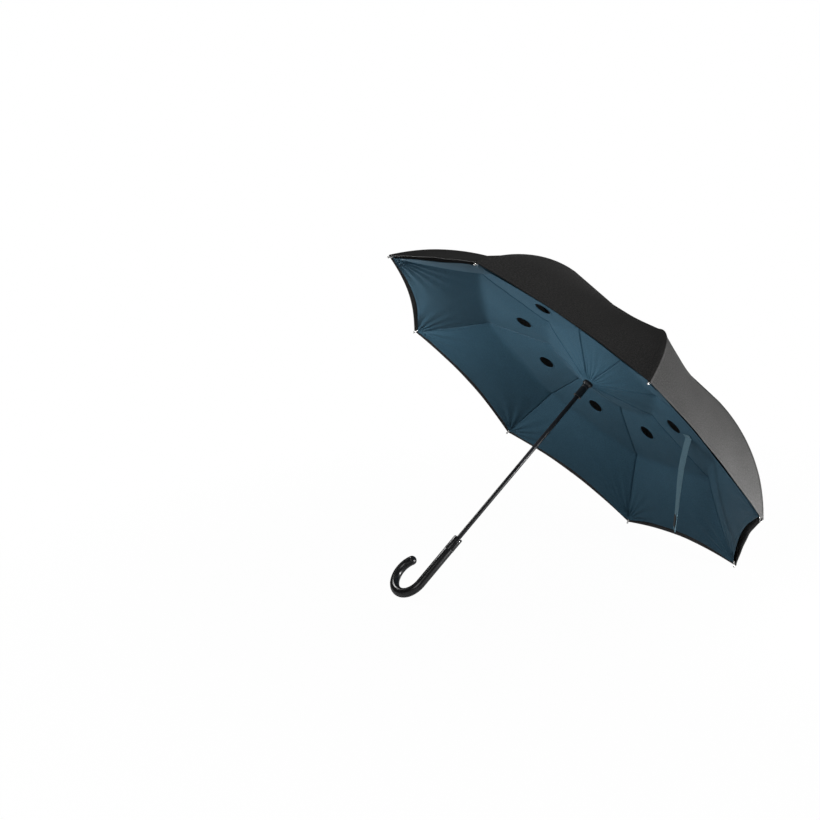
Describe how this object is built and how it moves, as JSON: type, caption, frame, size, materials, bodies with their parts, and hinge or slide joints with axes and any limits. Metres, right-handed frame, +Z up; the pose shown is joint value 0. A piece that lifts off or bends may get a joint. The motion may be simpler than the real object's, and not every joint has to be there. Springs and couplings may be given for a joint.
{
  "type": "inverted umbrella",
  "caption": "Open double-layer inverted umbrella with folding ribs on a crown and a sliding runner, a push button and a hook handle.",
  "frame": {"origin": "centre of the bottom of the bounding box, on the floor that the open umbrella lies on", "axes": "+Z up; +Y across, the canopy's widest way and its plane of symmetry apart from the hook; +X from the hook towards the crown, the shaft rising at about 42 degrees from the floor"},
  "size_m": [0.7686, 0.982, 0.744],
  "materials": {
    "shaft": "gloss black enamel on steel tube",
    "hub": "black moulded nylon",
    "handle": "high gloss black lacquer",
    "collar": "satin black moulded plastic",
    "button": "gloss black",
    "lining": "petrol blue woven polyester",
    "webbing": "black tape",
    "canopy": "black woven pongee polyester",
    "steel": "black coated steel strip",
    "fibreglass": "black fibreglass rod",
    "tip": "bright nickel plated"
  },
  "bodies": {
    "shaft": {"shaft_tube": "shaft", "crown_hub": "hub", "crown_cap": "hub", "runner_stop": "hub", "hook_grip": "handle", "grip_sleeve": "handle"},
    "stretcher_1": {"stretcher_1": "steel", "canopy_inner_1": "canopy"},
    "stretcher_2": {"stretcher_2": "steel", "canopy_inner_2": "canopy"},
    "stretcher_3": {"stretcher_3": "steel", "canopy_inner_3": "canopy"},
    "stretcher_4": {"stretcher_4": "steel", "canopy_inner_4": "canopy"},
    "stretcher_5": {"stretcher_5": "steel", "canopy_inner_5": "canopy"},
    "stretcher_6": {"stretcher_6": "steel", "canopy_inner_6": "canopy"},
    "stretcher_7": {"stretcher_7": "steel", "canopy_inner_7": "canopy"},
    "stretcher_8": {"stretcher_8": "steel", "canopy_inner_8": "canopy"},
    "rib_arm_1": {"rib_arm_1": "steel"},
    "rib_arm_2": {"rib_arm_2": "steel"},
    "rib_arm_3": {"rib_arm_3": "steel"},
    "rib_arm_4": {"rib_arm_4": "steel"},
    "rib_arm_5": {"rib_arm_5": "steel"},
    "rib_arm_6": {"rib_arm_6": "steel"},
    "rib_arm_7": {"rib_arm_7": "steel"},
    "rib_arm_8": {"rib_arm_8": "steel"},
    "rib_rod_1": {"rib_rod_1": "fibreglass", "rib_tip_1": "tip", "canopy_outer_1": "canopy"},
    "rib_rod_2": {"rib_rod_2": "fibreglass", "rib_tip_2": "tip", "canopy_outer_2": "canopy"},
    "rib_rod_3": {"rib_rod_3": "fibreglass", "rib_tip_3": "tip", "canopy_outer_3": "canopy"},
    "rib_rod_4": {"rib_rod_4": "fibreglass", "rib_tip_4": "tip", "canopy_outer_4": "canopy"},
    "rib_rod_5": {"rib_rod_5": "fibreglass", "rib_tip_5": "tip", "canopy_outer_5": "canopy"},
    "rib_rod_6": {"rib_rod_6": "fibreglass", "rib_tip_6": "tip", "canopy_outer_6": "canopy"},
    "rib_rod_7": {"rib_rod_7": "fibreglass", "rib_tip_7": "tip", "canopy_outer_7": "canopy"},
    "rib_rod_8": {"rib_rod_8": "fibreglass", "rib_tip_8": "tip", "canopy_outer_8": "canopy"},
    "runner": {"runner_collar": "collar", "runner_hub": "hub", "lining": "lining"},
    "strap": {"strap": "lining", "strap_tab": "webbing"},
    "push_button": {"push_button": "button"}
  },
  "joints": [
    {"name": "canopy_fold", "type": "hinge", "parent": "shaft", "child": "stretcher_1", "pos_m": [0.24017, 0.00344, 0.53801], "axis": [-0.2542, 0.9239, 0.286], "range_deg": [0, 65.8], "deforming": ["lining", "strap", "strap_tab", "canopy_inner_1", "canopy_inner_2", "canopy_inner_3", "canopy_inner_4", "canopy_inner_5", "canopy_inner_6", "canopy_inner_7", "canopy_inner_8", "canopy_outer_1", "canopy_outer_2", "canopy_outer_3", "canopy_outer_4", "canopy_outer_5", "canopy_outer_6", "canopy_outer_7", "canopy_outer_8"]},
    {"name": "stretcher_2_hinge", "type": "hinge", "parent": "shaft", "child": "stretcher_2", "pos_m": [0.23693, 0.00831, 0.54165], "axis": [-0.6138, 0.3827, 0.6905], "range_deg": [0, 65.8]},
    {"name": "stretcher_3_hinge", "type": "hinge", "parent": "shaft", "child": "stretcher_3", "pos_m": [0.23236, 0.00831, 0.5468], "axis": [-0.6138, -0.3827, 0.6905], "range_deg": [0, 65.8]},
    {"name": "stretcher_4_hinge", "type": "hinge", "parent": "shaft", "child": "stretcher_4", "pos_m": [0.22912, 0.00344, 0.55044], "axis": [-0.2542, -0.9239, 0.286], "range_deg": [0, 65.8]},
    {"name": "stretcher_5_hinge", "type": "hinge", "parent": "shaft", "child": "stretcher_5", "pos_m": [0.22912, -0.00344, 0.55044], "axis": [0.2542, -0.9239, -0.286], "range_deg": [0, 65.8]},
    {"name": "stretcher_6_hinge", "type": "hinge", "parent": "shaft", "child": "stretcher_6", "pos_m": [0.23236, -0.00831, 0.5468], "axis": [0.6138, -0.3827, -0.6905], "range_deg": [0, 65.8]},
    {"name": "stretcher_7_hinge", "type": "hinge", "parent": "shaft", "child": "stretcher_7", "pos_m": [0.23693, -0.00831, 0.54165], "axis": [0.6138, 0.3827, -0.6905], "range_deg": [0, 65.8]},
    {"name": "stretcher_8_hinge", "type": "hinge", "parent": "shaft", "child": "stretcher_8", "pos_m": [0.24017, -0.00344, 0.53801], "axis": [0.2542, 0.9239, -0.286], "range_deg": [0, 65.8]},
    {"name": "rib_arm_1_hinge", "type": "hinge", "parent": "stretcher_1", "child": "rib_arm_1", "pos_m": [0.35086, 0.11024, 0.29145], "axis": [-0.2542, 0.9239, 0.286], "range_deg": [-131.6, 0]},
    {"name": "rib_arm_2_hinge", "type": "hinge", "parent": "stretcher_2", "child": "rib_arm_2", "pos_m": [0.24728, 0.26613, 0.40797], "axis": [-0.6138, 0.3827, 0.6905], "range_deg": [-131.6, 0]},
    {"name": "rib_arm_3_hinge", "type": "hinge", "parent": "stretcher_3", "child": "rib_arm_3", "pos_m": [0.10081, 0.26613, 0.57275], "axis": [-0.6138, -0.3827, 0.6905], "range_deg": [-131.6, 0]},
    {"name": "rib_arm_4_hinge", "type": "hinge", "parent": "stretcher_4", "child": "rib_arm_4", "pos_m": [-0.00276, 0.11024, 0.68927], "axis": [-0.2542, -0.9239, 0.286], "range_deg": [-131.6, 0]},
    {"name": "rib_arm_5_hinge", "type": "hinge", "parent": "stretcher_5", "child": "rib_arm_5", "pos_m": [-0.00276, -0.11024, 0.68927], "axis": [0.2542, -0.9239, -0.286], "range_deg": [-131.6, 0]},
    {"name": "rib_arm_6_hinge", "type": "hinge", "parent": "stretcher_6", "child": "rib_arm_6", "pos_m": [0.10081, -0.26613, 0.57275], "axis": [0.6138, -0.3827, -0.6905], "range_deg": [-131.6, 0]},
    {"name": "rib_arm_7_hinge", "type": "hinge", "parent": "stretcher_7", "child": "rib_arm_7", "pos_m": [0.24728, -0.26613, 0.40797], "axis": [0.6138, 0.3827, -0.6905], "range_deg": [-131.6, 0]},
    {"name": "rib_arm_8_hinge", "type": "hinge", "parent": "stretcher_8", "child": "rib_arm_8", "pos_m": [0.35086, -0.11024, 0.29145], "axis": [0.2542, 0.9239, -0.286], "range_deg": [-131.6, 0]},
    {"name": "rib_rod_1_hinge", "type": "hinge", "parent": "rib_arm_1", "child": "rib_rod_1", "pos_m": [0.35086, 0.11024, 0.29145], "axis": [-0.2542, 0.9239, 0.286], "range_deg": [-48.91, 0]},
    {"name": "rib_rod_2_hinge", "type": "hinge", "parent": "rib_arm_2", "child": "rib_rod_2", "pos_m": [0.24728, 0.26613, 0.40797], "axis": [-0.6138, 0.3827, 0.6905], "range_deg": [-48.91, 0]},
    {"name": "rib_rod_3_hinge", "type": "hinge", "parent": "rib_arm_3", "child": "rib_rod_3", "pos_m": [0.10081, 0.26613, 0.57275], "axis": [-0.6138, -0.3827, 0.6905], "range_deg": [-48.91, 0]},
    {"name": "rib_rod_4_hinge", "type": "hinge", "parent": "rib_arm_4", "child": "rib_rod_4", "pos_m": [-0.00276, 0.11024, 0.68927], "axis": [-0.2542, -0.9239, 0.286], "range_deg": [-48.91, 0]},
    {"name": "rib_rod_5_hinge", "type": "hinge", "parent": "rib_arm_5", "child": "rib_rod_5", "pos_m": [-0.00276, -0.11024, 0.68927], "axis": [0.2542, -0.9239, -0.286], "range_deg": [-48.91, 0]},
    {"name": "rib_rod_6_hinge", "type": "hinge", "parent": "rib_arm_6", "child": "rib_rod_6", "pos_m": [0.10081, -0.26613, 0.57275], "axis": [0.6138, -0.3827, -0.6905], "range_deg": [-48.91, 0]},
    {"name": "rib_rod_7_hinge", "type": "hinge", "parent": "rib_arm_7", "child": "rib_rod_7", "pos_m": [0.24728, -0.26613, 0.40797], "axis": [0.6138, 0.3827, -0.6905], "range_deg": [-48.91, 0]},
    {"name": "rib_rod_8_hinge", "type": "hinge", "parent": "rib_arm_8", "child": "rib_rod_8", "pos_m": [0.35086, -0.11024, 0.29145], "axis": [0.2542, 0.9239, -0.286], "range_deg": [-48.91, 0]},
    {"name": "runner_pivot", "type": "hinge", "parent": "rib_arm_1", "child": "runner", "pos_m": [0.11898, 0.00344, 0.43028], "axis": [-0.2542, 0.9239, 0.286], "range_deg": [0, 65.8]},
    {"name": "button_press", "type": "slide", "parent": "shaft", "child": "push_button", "axis": [-0.081, 0.9925, 0.0911], "range_m": [0, 0.002], "stiffness_N_per_m": 500, "springref_m": -0.002},
    {"name": "strap_swing", "type": "hinge", "parent": "runner", "child": "strap", "pos_m": [0.22981, -0.18247, 0.32398], "axis": [0.5403, 0.4894, -0.6845], "range_deg": [-35, 35]}
  ],
  "couplings": [
    {"joint": "stretcher_2_hinge", "follows": "canopy_fold", "ratio": 1},
    {"joint": "stretcher_3_hinge", "follows": "canopy_fold", "ratio": 1},
    {"joint": "stretcher_4_hinge", "follows": "canopy_fold", "ratio": 1},
    {"joint": "stretcher_5_hinge", "follows": "canopy_fold", "ratio": 1},
    {"joint": "stretcher_6_hinge", "follows": "canopy_fold", "ratio": 1},
    {"joint": "stretcher_7_hinge", "follows": "canopy_fold", "ratio": 1},
    {"joint": "stretcher_8_hinge", "follows": "canopy_fold", "ratio": 1},
    {"joint": "rib_arm_1_hinge", "follows": "canopy_fold", "ratio": -2},
    {"joint": "rib_arm_2_hinge", "follows": "canopy_fold", "ratio": -2},
    {"joint": "rib_arm_3_hinge", "follows": "canopy_fold", "ratio": -2},
    {"joint": "rib_arm_4_hinge", "follows": "canopy_fold", "ratio": -2},
    {"joint": "rib_arm_5_hinge", "follows": "canopy_fold", "ratio": -2},
    {"joint": "rib_arm_6_hinge", "follows": "canopy_fold", "ratio": -2},
    {"joint": "rib_arm_7_hinge", "follows": "canopy_fold", "ratio": -2},
    {"joint": "rib_arm_8_hinge", "follows": "canopy_fold", "ratio": -2},
    {"joint": "rib_rod_1_hinge", "follows": "canopy_fold", "ratio": -0.74335},
    {"joint": "rib_rod_2_hinge", "follows": "canopy_fold", "ratio": -0.74335},
    {"joint": "rib_rod_3_hinge", "follows": "canopy_fold", "ratio": -0.74335},
    {"joint": "rib_rod_4_hinge", "follows": "canopy_fold", "ratio": -0.74335},
    {"joint": "rib_rod_5_hinge", "follows": "canopy_fold", "ratio": -0.74335},
    {"joint": "rib_rod_6_hinge", "follows": "canopy_fold", "ratio": -0.74335},
    {"joint": "rib_rod_7_hinge", "follows": "canopy_fold", "ratio": -0.74335},
    {"joint": "rib_rod_8_hinge", "follows": "canopy_fold", "ratio": -0.74335},
    {"joint": "runner_pivot", "follows": "canopy_fold", "ratio": 1}
  ]
}
